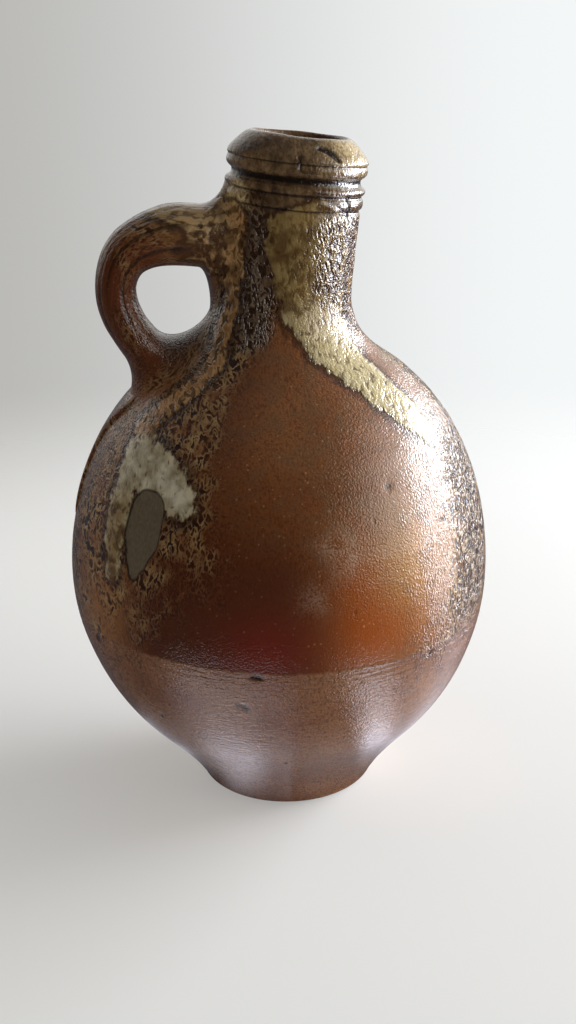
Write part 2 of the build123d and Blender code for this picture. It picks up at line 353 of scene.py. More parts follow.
def wheel_tree():
    """Turns a profile round the wheel, sways its belly and leans its top over."""
    tree = bpy.data.node_groups.new("turned_on_the_wheel", "GeometryNodeTree")
    shapes = {
        "Profile": "NodeSocketGeometry",
        "Columns": "NodeSocketInt",
        "Lean Start": "NodeSocketFloat",
        "Lean Length": "NodeSocketFloat",
        "Lean Angle": "NodeSocketFloat",
        "Belly Shift": "NodeSocketVector",
        "Belly Height": "NodeSocketFloat",
        "Belly Spread": "NodeSocketFloat",
        "Finish": "NodeSocketMaterial",
    }
    for name, kind in shapes.items():
        tree.interface.new_socket(name, in_out="INPUT", socket_type=kind)
    tree.interface.new_socket("Ware", in_out="OUTPUT", socket_type="NodeSocketGeometry")
    given = add(tree, "NodeGroupInput").outputs
    columns, start, length = given["Columns"], given["Lean Start"], given["Lean Length"]
    size = add(tree, "GeometryNodeAttributeDomainSize", {0: given["Profile"]}, component="MESH")
    rows = size.outputs["Point Count"]
    last = add(tree, MATH, {0: rows, 1: 1.0}, operation="SUBTRACT")
    more = add(tree, MATH, {0: columns, 1: 1.0}, operation="ADD")
    grid = add(
        tree,
        "GeometryNodeMeshGrid",
        {"Size X": columns, "Size Y": last, "Vertices X": more, "Vertices Y": rows},
    )
    spot = add(tree, "GeometryNodeInputPosition")
    flat = add(tree, "ShaderNodeSeparateXYZ", {0: spot})
    half = add(tree, MATH, {0: columns, 1: 0.5}, operation="MULTIPLY")
    column = add(tree, MATH, {0: flat.outputs["X"], 1: half}, operation="ADD")
    mid = add(tree, MATH, {0: last, 1: 0.5}, operation="MULTIPLY")
    row = add(tree, MATH, {0: flat.outputs["Y"], 1: mid}, operation="ADD")
    row = add(tree, MATH, {0: row}, operation="ROUND")
    profile = add(
        tree,
        "GeometryNodeSampleIndex",
        {"Geometry": given["Profile"], "Value": spot, "Index": row},
        data_type="FLOAT_VECTOR",
        domain="POINT",
    )
    drawn = add(tree, "ShaderNodeSeparateXYZ", {0: profile})
    radius, height = drawn.outputs["X"], drawn.outputs["Z"]
    part = add(tree, MATH, {0: column, 1: columns}, operation="DIVIDE")
    angle = add(tree, MATH, {0: part, 1: 2 * math.pi}, operation="MULTIPLY")
    cosine = add(tree, MATH, {0: angle}, operation="COSINE")
    sine = add(tree, MATH, {0: angle}, operation="SINE")
    end = add(tree, MATH, {0: start, 1: length}, operation="ADD")
    leant = add(
        tree,
        RAMP,
        {"Value": height, "From Min": start, "From Max": end, "To Max": given["Lean Angle"]},
    )
    lean_cos = add(tree, MATH, {0: leant}, operation="COSINE")
    lean_sin = add(tree, MATH, {0: leant}, operation="SINE")
    bend = add(tree, MATH, {0: length, 1: given["Lean Angle"]}, operation="DIVIDE")
    past = add(tree, MATH, {0: height, 1: end}, operation="SUBTRACT")
    past = add(tree, MATH, {0: past, 1: 0.0}, operation="MAXIMUM")
    low = add(tree, MATH, {0: height, 1: start}, operation="MINIMUM")
    sag = add(tree, MATH, {0: 1.0, 1: lean_cos}, operation="SUBTRACT")
    out_x = add(tree, MATH, {0: bend, 1: sag}, operation="MULTIPLY")
    out_x = add(tree, MATH, {0: past, 1: lean_sin, 2: out_x}, operation="MULTIPLY_ADD")
    up_z = add(tree, MATH, {0: bend, 1: lean_sin, 2: low}, operation="MULTIPLY_ADD")
    up_z = add(tree, MATH, {0: past, 1: lean_cos, 2: up_z}, operation="MULTIPLY_ADD")
    across = add(tree, MATH, {0: radius, 1: cosine}, operation="MULTIPLY")
    x = add(tree, MATH, {0: across, 1: lean_cos, 2: out_x}, operation="MULTIPLY_ADD")
    y = add(tree, MATH, {0: radius, 1: sine}, operation="MULTIPLY")
    drop = add(tree, MATH, {0: across, 1: lean_sin}, operation="MULTIPLY")
    z = add(tree, MATH, {0: up_z, 1: drop}, operation="SUBTRACT")
    turned = add(tree, "ShaderNodeCombineXYZ", {0: x, 1: y, 2: z})
    away = add(tree, MATH, {0: height, 1: given["Belly Height"]}, operation="SUBTRACT")
    away = add(tree, MATH, {0: away, 1: given["Belly Spread"]}, operation="DIVIDE")
    away = add(tree, MATH, {0: away, 1: away}, operation="MULTIPLY")
    away = add(tree, MATH, {0: away, 1: -1.0}, operation="MULTIPLY")
    sway = add(tree, MATH, {0: away}, operation="EXPONENT")
    shift = add(tree, VECTOR, {0: given["Belly Shift"], "Scale": sway}, operation="SCALE")
    turned = add(tree, VECTOR, {0: turned, 1: shift}, operation="ADD")
    outward = add(tree, "ShaderNodeCombineXYZ", {0: cosine, 1: sine, 2: 0.0})
    store = "GeometryNodeStoreNamedAttribute"
    ware = add(tree, store, {"Geometry": grid, "Name": "row", "Value": row})
    ware = add(
        tree,
        store,
        {"Geometry": ware, "Name": "outward", "Value": outward},
        data_type="FLOAT_VECTOR",
    )
    ware = add(tree, store, {"Geometry": ware, "Name": "height", "Value": height})
    ware = add(tree, "GeometryNodeSetPosition", {"Geometry": ware, "Position": turned})
    ware = add(tree, "GeometryNodeMergeByDistance", {"Geometry": ware, "Distance": 1e-6})
    ware = add(tree, "GeometryNodeRealizeInstances", {"Geometry": ware})
    ware = add(tree, "GeometryNodeSetMaterial", {"Geometry": ware, "Material": given["Finish"]})
    add(tree, "NodeGroupOutput", {0: ware})
    return tree


turned_on_the_wheel = wheel_tree()


def places(mesh):
    """Where the vertices of a mesh lie, in metres."""
    spots = np.empty(len(mesh.vertices) * 3, np.float32)
    mesh.vertices.foreach_get("co", spots)
    return spots.reshape(-1, 3).astype(float)


def facing_out(mesh):
    """Turns the faces of a closed mesh outwards and keeps its edges over 50 degrees crisp."""
    spots = places(mesh)
    mesh.calc_loop_triangles()
    corners = np.empty(len(mesh.loop_triangles) * 3, np.int32)
    mesh.loop_triangles.foreach_get("vertices", corners)
    a, b, c = (spots[corners.reshape(-1, 3)[:, k]] for k in range(3))
    if np.sum(a * np.cross(b, c)) < 0:
        mesh.flip_normals()
    mesh.shade_smooth()
    mesh.set_sharp_from_angle(angle=math.radians(50))


def on_the_wheel(name, profile, columns, finish):
    """A wheel-thrown piece as a plain mesh, with each vertex's turn, height and profile row."""
    points = profile * MM
    edges = [(i, i + 1) for i in range(len(points) - 1)]
    line = bpy.data.meshes.new(name)
    line.from_pydata([(r, 0.0, h) for r, h in points], edges, [])
    piece = bpy.data.objects.new(name, line)
    bpy.context.collection.objects.link(piece)
    wheel = piece.modifiers.new("wheel", "NODES")
    wheel.node_group = turned_on_the_wheel
    sizes = {
        "Columns": columns,
        "Lean Start": root_base * MM,
        "Lean Length": root_height * MM,
        "Lean Angle": lean,
        "Belly Shift": (belly_shift[0] * MM, belly_shift[1] * MM, 0.0),
        "Belly Height": belly_height * MM,
        "Belly Spread": belly_spread * MM,
        "Finish": finish,
    }
    for item in wheel.node_group.interface.items_tree:
        if item.name in sizes:
            wheel[item.identifier] = sizes[item.name]
    graph = bpy.context.evaluated_depsgraph_get()
    mesh = bpy.data.meshes.new_from_object(
        piece.evaluated_get(graph), preserve_all_data_layers=True, depsgraph=graph
    )
    piece.modifiers.clear()
    piece.data = mesh
    mesh.name = name
    return piece


def read(mesh, name, width=1):
    """An attribute of a mesh, one row for each vertex."""
    values = np.empty(len(mesh.vertices) * width, np.float32)
    field = "value" if width == 1 else "vector"
    mesh.attributes[name].data.foreach_get(field, values)
    return values.astype(float) if width == 1 else values.reshape(-1, width).astype(float)


def write(mesh, name, values):
    """Stores one number or vector for each vertex as an attribute."""
    kind, field = ("FLOAT", "value") if values.ndim == 1 else ("FLOAT_VECTOR", "vector")
    spot = mesh.attributes.new(name, kind, "POINT")
    spot.data.foreach_set(field, np.ascontiguousarray(values, np.float32).ravel())


# Fields of the glaze, drawn as strokes: (degrees round the jug, height, half-width)

cream_run = [
    (-77, 206, 15.0), (-77, 190, 14.5), (-73, 178, 12.0), (-66, 168, 10.5), (-59, 159, 9.5),
    (-53, 151, 8.0), (-48, 145, 7.4), (-43, 139, 7.0), (-39, 134, 4.6),
]
ochre_run = [
    (-153, 203, 4.0), (-150, 194, 4.2), (-148, 183, 3.6), (-147, 173, 3.4), (-144, 163, 3.4),
    (-140, 155, 3.6), (-140, 150, 4.2), (-144, 146, 4.6), (-149, 141, 4.8), (-152, 136, 5.0),
]
ash_patch = [(-149, 130, 6.0), (-141, 127, 8.0), (-132, 124, 7.0), (-125, 119, 4.5)]
ash_leg = [(-148, 127, 5.4), (-147, 113, 5.0), (-146, 103, 4.4), (-145, 94, 2.4)]
back_runs = [
    [(150, 200, 5.0), (146, 172, 4.0), (138, 152, 4.5), (133, 136, 6.0), (131, 124, 3.5)],
    [(98, 204, 9.0), (95, 180, 8.0), (88, 160, 6.5), (84, 146, 6.0), (80, 131, 6.5),
     (79, 118, 3.0)],
    [(42, 203, 7.0), (40, 182, 6.0), (36, 164, 5.0), (30, 149, 5.0), (27, 141, 2.5)],
]
kiln_scar = [(-136, 115.5, 6.6), (-136, 108, 6.9), (-136.6, 101.5, 4.4), (-137, 97, 2.0)]
neck_streak = [(-131, 203, 4.5), (-128, 185, 5.0), (-124, 172, 6.0), (-119, 164, 6.0)]
neck_soot = [(-46, 206, 7.5), (-54, 193, 8.0), (-50, 180, 6.5), (-36, 170, 2.5), (-26, 164, 1.0)]
lip_chips = [
    [(-80, 219.5, 0.9), (-74, 219.2, 1.1), (-68, 218.0, 1.3), (-64, 216.5, 0.8)],
    [(-97, 216.6, 0.5), (-96, 213.0, 0.4), (-92, 212.0, 0.3)],
    [(-50, 205.5, 1.0), (-47, 202.0, 0.8), (-45, 198.0, 0.4)],
    [(38, 220.0, 1.2), (44, 218.6, 0.9)],
    [(150, 217.0, 0.6), (155, 214.0, 0.5)],
]
burst_pits = [
    [(-104.3, 69.4, 0.7), (-102.0, 68.8, 1.0)], [(-108.6, 58.0, 0.8), (-106.2, 56.4, 1.0)],
    [(-54.6, 66.2, 0.7), (-53.6, 67.8, 0.7)], [(-65.3, 122.9, 0.9), (-64.7, 123.2, 0.9)],
    [(24.0, 52.0, 0.8), (25.6, 51.2, 0.9)], [(112.0, 88.0, 0.8), (113.2, 87.0, 0.7)],
]

# The plain brown front, between a mottled left and right: (height, degrees) of its two borders
front_middle = -80
plain_left = [
    (60, -138), (75, -127), (93, -116), (109, -109), (124, -113), (140, -118), (165, -112),
]
plain_right = [
    (60, -54), (75, -49), (92, -45), (117, -41), (132, -36), (142, -15), (158, -10), (170, -50),
]

# How strongly the jug is mottled away from that front, by height
mottle_heights = [34, 58, 76, 95, 108, 150]
mottle_levels = [0.0, 0.42, 0.50, 0.56, 0.76, 0.80]

# Soft ovals that the fire left: (strength, degrees round the jug, height, spread in degrees, rise)
fire_ovals = {
    "mottle": [(0.72, -119, 108, 11, 15)],
    "flush": [
        (1.0, -75, 80, 16, 12), (0.7, -78, 97, 8, 12), (0.3, -147, 76, 9, 24), (0.5, 60, 84, 34, 20),
    ],
    "tan": [
        (1.0, -55, 98, 18, 20), (0.8, -36, 46, 22, 26), (0.5, 120, 110, 30, 24),
        (0.8, -152, 72, 11, 20), (0.5, -142, 88, 5, 16), (1.2, -35, bend_end + 43, 32, 7),
    ],
    "scorch": [(0.7, 10, 86, 30, 16)],
    "blush": [(1.0, -101, 78, 12, 12)],
    "scuff": [
        (1.0, -80, 106, 3.5, 6), (0.45, -88, 94, 4, 5), (0.6, -85, 110, 3, 3),
        (0.8, -18, 146, 20, 14),
    ],
}

# Relief on the thrown wall: how far runs stand out, how deep the scar, chips and turned foot lie,
# and lines left by the turning tool as (distance below the ridge, depth)
run_lift = 0.30
scar_dent = 0.45
chip_dent = 0.50
turned_step = 0.35
turning_lines = [(1.6, 0.10), (3.4, 0.16), (5.6, 0.10), (8.5, 0.06)]

# Grooves between the rings of the rim: (height above the bend, depth, half-width)
rim_grooves = [(24.2, 0.9, 0.55), (28.65, 0.9, 0.5), (33.0, 1.3, 1.2), (37.9, 0.9, 0.35)]


def way_round(degrees):
    """An angle brought between -180 and 180."""
    return np.remainder(degrees + 180, 360) - 180


def stroke(turn, h, points):
    """How far inside a drawn stroke each spot lies, in mm; below 0 is outside it."""
    r, s = wall_radius(h), wall_length(h)
    best = np.full(len(turn), -1e3)
    for (t0, h0, w0), (t1, h1, w1) in zip(points, points[1:]):
        gap = way_round(t0 - turn)
        ends = [
            np.stack([np.radians(gap) * r, wall_length(h0) - s], 1),
            np.stack([np.radians(gap + t1 - t0) * r, wall_length(h1) - s], 1),
        ]
        path = ends[1] - ends[0]
        part = -np.sum(ends[0] * path, 1) / np.maximum(np.sum(path * path, 1), 1e-9)
        part = np.clip(part, 0, 1)
        away = np.linalg.norm(ends[0] + path * part[:, None], axis=1)
        best = np.maximum(best, w0 + (w1 - w0) * part - away)
    return best


def strokes(turn, h, drawn):
    """The same for several strokes together."""
    return np.max([stroke(turn, h, points) for points in drawn], 0)


def soft_ovals(turn, h, ovals):
    """Sum of soft ovals, each at its full strength in its centre."""
    total = np.zeros(len(turn))
    for strength, centre, height, spread, rise in ovals:
        gap = way_round(turn - centre) / spread
        total += strength * np.exp(-(gap**2) - ((h - height) / rise) ** 2)
    return total


def glaze_fields(turn, h):
    """What the salt and the fire did at each spot of the outside, as fields for the glaze."""
    cream, ochre, leg = (stroke(turn, h, points) for points in (cream_run, ochre_run, ash_leg))
    ash = np.maximum(stroke(turn, h, ash_patch), leg)
    back = strokes(turn, h, back_runs)
    run = np.max([cream, ochre, ash, back], 0)
    fire = {key: soft_ovals(turn, h, ovals) for key, ovals in fire_ovals.items()}

    # Mottle: none on the plain front, strong at its right and beside the runs
    gap = way_round(turn - front_middle)
    left, right = (
        np.interp(h, *zip(*border)) - front_middle for border in (plain_left, plain_right)
    )
    plain = smooth(left - 13, left + 11, gap) * (1 - smooth(right - 30, right + 7, gap))
    level = np.interp(h, mottle_heights, mottle_levels)
    level += 0.14 * np.sin(np.radians(3 * turn + 40)) * np.sin(h / 19.0)
    limb = smooth(right - 20, right + 8, gap) * smooth(right + 75, right + 40, gap)
    limb *= smooth(62, 80, h) * smooth(142, 130, h)
    core = smooth(right - 3, right + 7, gap) * smooth(right + 30, right + 14, gap)
    core *= smooth(134, 122, h)
    beside = smooth(-9, -1, np.max([ochre, ash, back], 0)) * smooth(70, 96, h)
    round_cream = smooth(-9, -1, cream) * smooth(163, 174, h)
    mottle = [(1 - plain) * level, 0.95 * limb, 0.95 * beside, round_cream, fire["mottle"]]

    # Melt: from olive at 0 to cream at 1, by which run a spot lies nearest to
    olive = smooth(-2, 2, leg) * smooth(123, 113, h)
    tone = np.zeros(len(turn))
    for nearest, its_tone in (
        (cream, smooth(180, 150, h)),
        (ash, 0.85 - 0.75 * olive),
        (back, 0.8 * smooth(190, 150, h)),
    ):
        tone = np.where(nearest >= run - 1e-6, its_tone, tone)

    # Scorch: the dark left of the front
    dark = smooth(-152, -128, turn) * smooth(-72, -98, turn) * smooth(60, 70, h)
    dark *= smooth(134, 98, h) + 0.4 * smooth(-96, -116, turn) * smooth(98, 134, h)
    # The right limb's share here is painted shade: dark laid where its glaze would mirror dark
    # surroundings.
    streak_and_painted_shade = [
        smooth(-3, 3, stroke(turn, h, neck_streak)), 0.9 * smooth(-5, 3, stroke(turn, h, neck_soot)),
        0.45 * smooth(-5, 2, ochre), 0.62 * limb * core,
    ]
    return {
        "run": np.clip(run - 16 * smooth(bend_end + 20.0, bend_end + 31.0, h), -20, 12),
        "cream": tone,
        "ash": smooth(-4, 4, ash) * (1 - 0.85 * olive),
        "mottle": np.max(mottle, 0),
        "flush": fire["flush"],
        "tan": fire["tan"] + 1.2 * smooth(-3, 0, ochre),
        "scorch": fire["scorch"] + dark,
        "blush": fire["blush"],
        "scuff": fire["scuff"],
        "scar": np.clip(stroke(turn, h, kiln_scar), -15, 10),
        "streak_and_painted_shade": np.max(streak_and_painted_shade, 0),
        "turned": np.clip(ridge_height + 1.5 * smooth(-85, -120, turn) - h, -30, 30),
        "rim": smooth(bend_end + 20.5, bend_end + 24.5, h),
    }


def hand_relief(turn, h, fields, chips):
    """How far hands, tools and fire moved the thrown wall outwards, in mm."""
    rad = np.radians(turn)
    lift = run_lift * smooth(-0.6, 2.2, fields["run"]) * smooth(90, 96, h)
    lift -= scar_dent * smooth(-0.5, 0.7, fields["scar"])
    lift -= chip_dent * chips
    lift -= turned_step * smooth(-0.4, 0.7, fields["turned"]) * smooth(70, 52, h)
    right = smooth(-98, -70, turn) * smooth(20, -20, turn)
    for drop, deep in turning_lines:
        line = bump_at(fields["turned"] + 0.35 * np.sin(3 * rad + drop), drop, 0.55)
        lift -= deep * (0.5 + 0.8 * right) * line
    lift += 0.16 * np.sin(2 * rad + 0.9) * np.sin(h / 31.0) + 0.10 * np.sin(5 * rad + h / 17.0)
    finger_lines = 0.05 * np.sin(h / 1.45 + 0.8 * np.sin(2 * rad)) * smooth(90, 110, h)
    lift += finger_lines * (1 - fields["rim"])
    return lift * smooth(1.0, 12.0, h)


def wall_grain(spots):
    """Where the glaze's pattern is read on the wall, in mm: drawn out down it, and round its back."""
    x, y, z = spots.T
    return np.stack([x, y - 0.5 * np.maximum(y + 45, 0), 0.55 * z], 1)


def ware(name, profile, columns, finish):
    """Throws a piece, then adds what hands, tools and fire left on it."""
    points, (first, last) = profile
    piece = on_the_wheel(name, points, columns, finish)
    mesh = piece.data
    out, h, row = read(mesh, "outward", 3), read(mesh, "height") / MM, read(mesh, "row")
    turn = np.degrees(np.arctan2(out[:, 1], out[:, 0]))
    outside = (row > first - 0.5) & (row < last - 0.5)
    fields = glaze_fields(turn, h)
    chips = smooth(-0.4, 0.5, strokes(turn, h, lip_chips + burst_pits))
    lift = hand_relief(turn, h, fields, chips)
    spots = places(mesh)
    spots[outside] += (wall_normal(np.radians(turn), h) * lift[:, None] * MM)[outside]
    mesh.vertices.foreach_set("co", spots.astype(np.float32).ravel())
    mesh.update()
    facing_out(mesh)
    inside = ~outside
    for key, level in (("run", -20), ("scar", -20), ("mottle", 0.25), ("scorch", 0.8)):
        fields[key][inside] = level
    fields["rim"][inside & (h > 150)] = 0.6
    # Painted shade in the hollows: the rim's grooves, the lip's chips and the burst pits darkened as
    # shade would darken them
    grooves = sum(deep * bump_at(h - bend_end, at, half) for at, deep, half in rim_grooves)
    fields["painted_hollow_shade"] = np.where(outside, np.maximum(smooth(0.25, 1.0, grooves), chips), 0.0)
    fields["bare"] = np.where(row < first + 1.5, 1.0, 0.0) * (1.0 if first else 0.0)
    for key, values in fields.items():
        write(mesh, key, values)
    write(mesh, "grain", wall_grain(spots / MM) * MM)
    return piece


# Pulled handle


def strap_rings():
    """Rings of the strap between its two joints, with the depth of its pulled grooves."""
    knots = np.array(strap_rows)
    last = len(knots) - 1
    marks = np.linspace(0.05, last - 0.05, 130)
    marks = np.concatenate([[0, 0.004, 0.016], marks, [last - 0.016, last - 0.004, last]])
    knot = np.minimum(marks.astype(int), last - 1)
    slope = np.gradient(knots, axis=0)
    t = (marks - knot)[:, None]
    rows = eased(t, knots[knot], slope[knot], knots[knot + 1], slope[knot + 1])
    outer, inner, broad = rows[:, 0:2], rows[:, 2:4], rows[:, 4]
    middle = (outer + inner) / 2
    along = np.concatenate([[0], np.cumsum(np.hypot(*np.diff(middle, axis=0).T))])
    angle = 2 * math.pi * np.arange(strap_round) / strap_round
    side = np.sign(np.cos(angle)) * np.abs(np.cos(angle)) ** 0.88
    up = np.sign(np.sin(angle)) * np.abs(np.sin(angle)) ** 0.94
    rings, grooves, flow = [], [], []
    for k in range(len(rows)):
        s = along[k]
        sway = 0.35 * math.sin(s / 11.0) + 0.12 * math.sin(s / 3.7)
        lines = 0.55 * np.cos(10 * angle + sway) + 0.45 * np.cos(17 * angle + 1.3 - 1.4 * sway)
        deep = smooth(0.0, 9.0, s) * smooth(0.0, 9.0, along[-1] - s)
        size = 1 + strap_groove * deep * np.minimum(lines, 0.25) + strap_waver * math.sin(s / 4.1)
        thick = (outer[k] - inner[k]) / 2
        y = broad[k] / 2 * size * side
        spot = middle[k] + (size * up)[:, None] * thick
        rings.append(np.stack([spot[:, 0], y, spot[:, 1]], 1))
        grooves.append(smooth(0.25, 0.85, -lines) * deep)
        flow.append(np.stack([0 * y + s, y, up * np.hypot(*thick)], 1))
    return rings, grooves, flow


def landed(ring, turn, h, way, full):
    """Rings that carry a strap ring on to the wall and let it run out along the surface."""
    on_wall, out = wall_point(turn, h), wall_normal(turn, h)
    spread = on_wall - on_wall.mean(0)
    spread -= np.sum(spread * out, 1, keepdims=True) * out
    spread /= np.linalg.norm(spread, axis=1, keepdims=True)
    gap = np.linalg.norm(on_wall - ring, axis=1, keepdims=True) * full[:, None]
    rings = [
        clear_of_wall(
            eased(t, ring, 1.15 * gap * way, on_wall, 0.95 * gap * spread), 0.15 * (1 - t)
        )
        for t in np.linspace(0, 1, 36)[1:]
    ]
    return rings + [on_wall + 0.6 * spread - 0.35 * out, on_wall - 1.2 * out]


def on_the_lean(spots):
    """Turn, height along the centre line and distance from it, for spots near the wall."""
    h = spots[:, 2].copy()
    for _ in range(6):
        x, z, angle = axis_at(h)
        h += (spots[:, 2] - z) * np.cos(angle) + (spots[:, 0] - x) * np.sin(angle)
    x, z, angle = axis_at(h)
    sway = bump_at(h, belly_height, belly_spread)
    out_x = (spots[:, 0] - x - belly_shift[0] * sway) * np.cos(angle)
    out_x -= (spots[:, 2] - z) * np.sin(angle)
    out_y = spots[:, 1] - belly_shift[1] * sway
    return np.arctan2(out_y, out_x), h, np.hypot(out_x, out_y)


def clear_of_wall(spots, least):
    """Lifts spots that would sink into the wall until they are just clear of it."""
    turn, h, r = on_the_lean(spots)
    lift = np.maximum(r - wall_radius(h), least)
    return np.where((lift > r - wall_radius(h))[:, None], wall_point(turn, h, lift), spots)


def handle_joints(first, last):
    """Slip round the handle's two ends, as rings from the strap down on to the wall."""
    angle = 2 * math.pi * np.arange(strap_round) / strap_round
    side, up = np.cos(angle), np.sin(angle)
    upper, lower = np.maximum(up, 0), np.maximum(-up, 0)
    away = np.array(strap_rows[0][:2]) - strap_rows[0][2:4]
    away /= np.hypot(*away)
    rise = top_spread[0] * upper - top_spread[1] * lower
    turn = math.pi - side * landing_half / neck_radius
    way = np.array([away[1], 0, -away[0]])
    top = landed(first, turn, bend_end + top_landing + rise, way, 1 - 0.38 * lower)
    away = np.array(strap_rows[-1][:2]) - strap_rows[-1][2:4]
    away /= np.hypot(*away)
    fall = foot_spread[0] * upper - foot_spread[1] * lower
    h = np.interp(wall_length(foot_landing) - fall, wall_run, wall_line[:, 1])
    turn = math.pi - side * landing_half / wall_radius(h)
    way = np.array([-away[1], 0, away[0]])
    foot = landed(last, turn, h, way, 1 + 0.12 * lower)
    return top, foot


def pressed_tail():
    """The handle's tail, smeared thin down the shoulder and a little to the far side."""
    rows, across = 48, 25
    part = np.linspace(0, 1, rows)[:, None]
    b = np.linspace(-1, 1, across)[None, :]
    h = tail_top - tail_length * part + 0 * b
    centre = 180 - 13.5 * smooth(149, 126, h) + 11 * smooth(122, 98, h)
    half = tail_half[0] + (tail_half[1] - tail_half[0]) * smooth(150, 104, h)
    half = half * np.sqrt(np.clip(1.02 - part**8, 0, 1))
    edge = 1 + 0.10 * np.sin(9 * part + 2.0 * np.sign(b)) * np.abs(b)
    turn = np.radians(centre) - b * half * edge / wall_radius(h)
    thick = tail_thickness * (1 - 0.5 * part) * np.sqrt(np.clip(1 - b**6, 0, 1))
    thick *= np.sqrt(np.clip(1 - part**6, 0, 1))
    top = wall_point(turn, h, thick - 0.15)
    under = wall_point(turn, h, np.full_like(turn, -tail_bed))
    return top, under


def smeared(rings, flow):
    """Carries the strap's own coordinates on along rings that leave it."""
    step = [np.zeros(strap_round)]
    step += [np.linalg.norm(b - a, axis=1) for a, b in zip(rings, rings[1:])]
    run = np.cumsum(step, axis=0)
    return [np.stack([flow[:, 0] + 2 * far, flow[:, 1], flow[:, 2]], 1) for far in run]


def closed_rings(rings):
    """Points and faces of a stack of rings with a cap on each end."""
    spots = np.concatenate(rings)
    index = np.arange(len(spots)).reshape(len(rings), strap_round)
    after = np.roll(index, -1, axis=1)
    quads = np.stack([index[:-1], after[:-1], after[1:], index[1:]], -1).reshape(-1, 4)
    ends = np.stack([rings[0].mean(0), rings[-1].mean(0)])
    first = np.full(strap_round, len(spots))
    caps = [
        np.stack([after[0], index[0], first], 1),
        np.stack([index[-1], after[-1], first + 1], 1),
    ]
    faces = quads.tolist() + np.concatenate(caps).tolist()
    return np.concatenate([spots, ends]), faces


def closed_leaf(top, under):
    """Points and faces of a leaf between two grids that share their outline."""
    rows, across = top.shape[:2]
    spots = np.concatenate([top.reshape(-1, 3), under.reshape(-1, 3)])
    upper = np.arange(rows * across).reshape(rows, across)
    lower = upper + rows * across
    faces = np.stack(
        [upper[:-1, :-1], upper[1:, :-1], upper[1:, 1:], upper[:-1, 1:]], -1
    ).reshape(-1, 4).tolist()
    faces += np.stack(
        [lower[:-1, :-1], lower[:-1, 1:], lower[1:, 1:], lower[1:, :-1]], -1
    ).reshape(-1, 4).tolist()
    ring = [
        np.concatenate([grid[0, :-1], grid[:-1, -1], grid[-1, :0:-1], grid[:0:-1, 0]])
        for grid in (upper, lower)
    ]
    after = [np.roll(border, -1) for border in ring]
    faces += np.stack([ring[0], after[0], after[1], ring[1]], 1).tolist()
    return spots, faces


def strap_grain(flow):
    """Where the glaze's pattern is read on the handle, in mm: drawn out along the strap."""
    return np.concatenate(flow) * [0.48, 1.0, 1.0]


def handle_fields(spots, wall_share):
    """Fields of the handle's glaze, which turn into the wall's own where it lies on the wall."""
    x, y, z = spots.T
    near_neck = smooth(-44, -26, x + 1.5 * np.sin(y / 2.3)) * smooth(170, 182, z)
    crown = smooth(188, 199, z) * smooth(-55, -40, x - 0.07 * y**2)
    below = smooth(166, 160, z) * smooth(-42, -36, x)
    none = np.zeros(len(spots))
    own = {
        "run": np.maximum(-9.0 + 8.5 * near_neck, -9.0 + 10.6 * crown),
        "cream": 0.3 * crown,
        "tan": near_neck,
        "mottle": 0.42 - 0.15 * smooth(-50, -57, x) + 0.25 * smooth(182, 192, z),
        "scorch": 0.9 - 0.4 * np.maximum(crown, near_neck),
        "flush": 0.08 + 0.12 * bump_at(z, 172, 9),
        "scar": none - 15,
        "streak_and_painted_shade": 0.45 * below,
        "turned": none - 30,
        "rim": 0.3 * crown,
    }
    turn, h = on_the_lean(spots)[:2]
    return {
        key: own.get(key, none) * (1 - wall_share) + values * wall_share
        for key, values in glaze_fields(np.degrees(turn), h).items()
    }


def clay_piece(name, shells, finish):
    """A hand-made piece from closed shells of points and faces."""
    spots, faces = [], []
    for points, sides in shells:
        start = sum(len(p) for p in spots)
        faces += [[start + i for i in side] for side in sides]
        spots.append(points)
    spots = np.concatenate(spots)
    mesh = bpy.data.meshes.new(name)
    mesh.from_pydata((spots * MM).tolist(), [], faces)
    mesh.materials.append(finish)
    piece = bpy.data.objects.new(name, mesh)
    bpy.context.collection.objects.link(piece)
    facing_out(mesh)
    return piece, spots


# Salt glaze. Each step lays one thing over the colour so far, and keeps the masks that later
# steps need by name.


def glaze_masks(tree):
    """The fields drawn on the meshes, and noise patterns that each have a real size in mm."""
    mask = {
        key: add(tree, "ShaderNodeAttribute", attribute_name=key).outputs["Fac"]
        for key in ("run", "cream", "ash", "mottle", "flush", "tan", "scorch", "blush", "scuff",
                    "scar", "streak_and_painted_shade", "turned", "rim", "painted_hollow_shade", "bare")
    }
    mask["grain"] = add(tree, "ShaderNodeAttribute", attribute_name="grain").outputs["Vector"]
    mask["place"] = add(tree, "ShaderNodeTexCoord").outputs["Object"]
    # Turning marks are five times as long round the jug as they are high.
    mask["round"] = add(
        tree, VECTOR, {0: mask["place"], 1: (0.20, 0.20, 1.0)}, operation="MULTIPLY"
    )
    for name, spot, size, detail, rough, distortion in (
        ("broad", "place", 24.0, 4.0, 0.5, 0.0),
        ("wide", "place", 7.0, 2.0, 0.5, 0.0),
        ("edge", "grain", 3.0, 3.0, 0.62, 0.0),
        ("worm", "grain", 1.6, 1.6, 0.5, 0.5),
        ("small", "grain", 0.95, 1.0, 0.5, 0.0),
        ("fine", "grain", 0.7, 1.5, 0.5, 0.0),
        ("peel", "place", 0.62, 1.0, 0.5, 0.0),
        ("comb", "round", 0.9, 2.0, 0.6, 0.0),
    ):
        mask[name] = add(
            tree,
            "ShaderNodeTexNoise",
            {"Vector": mask[spot], "Scale": 1 / (size * MM), "Detail": detail,
             "Roughness": rough, "Distortion": distortion},
        )
    return mask


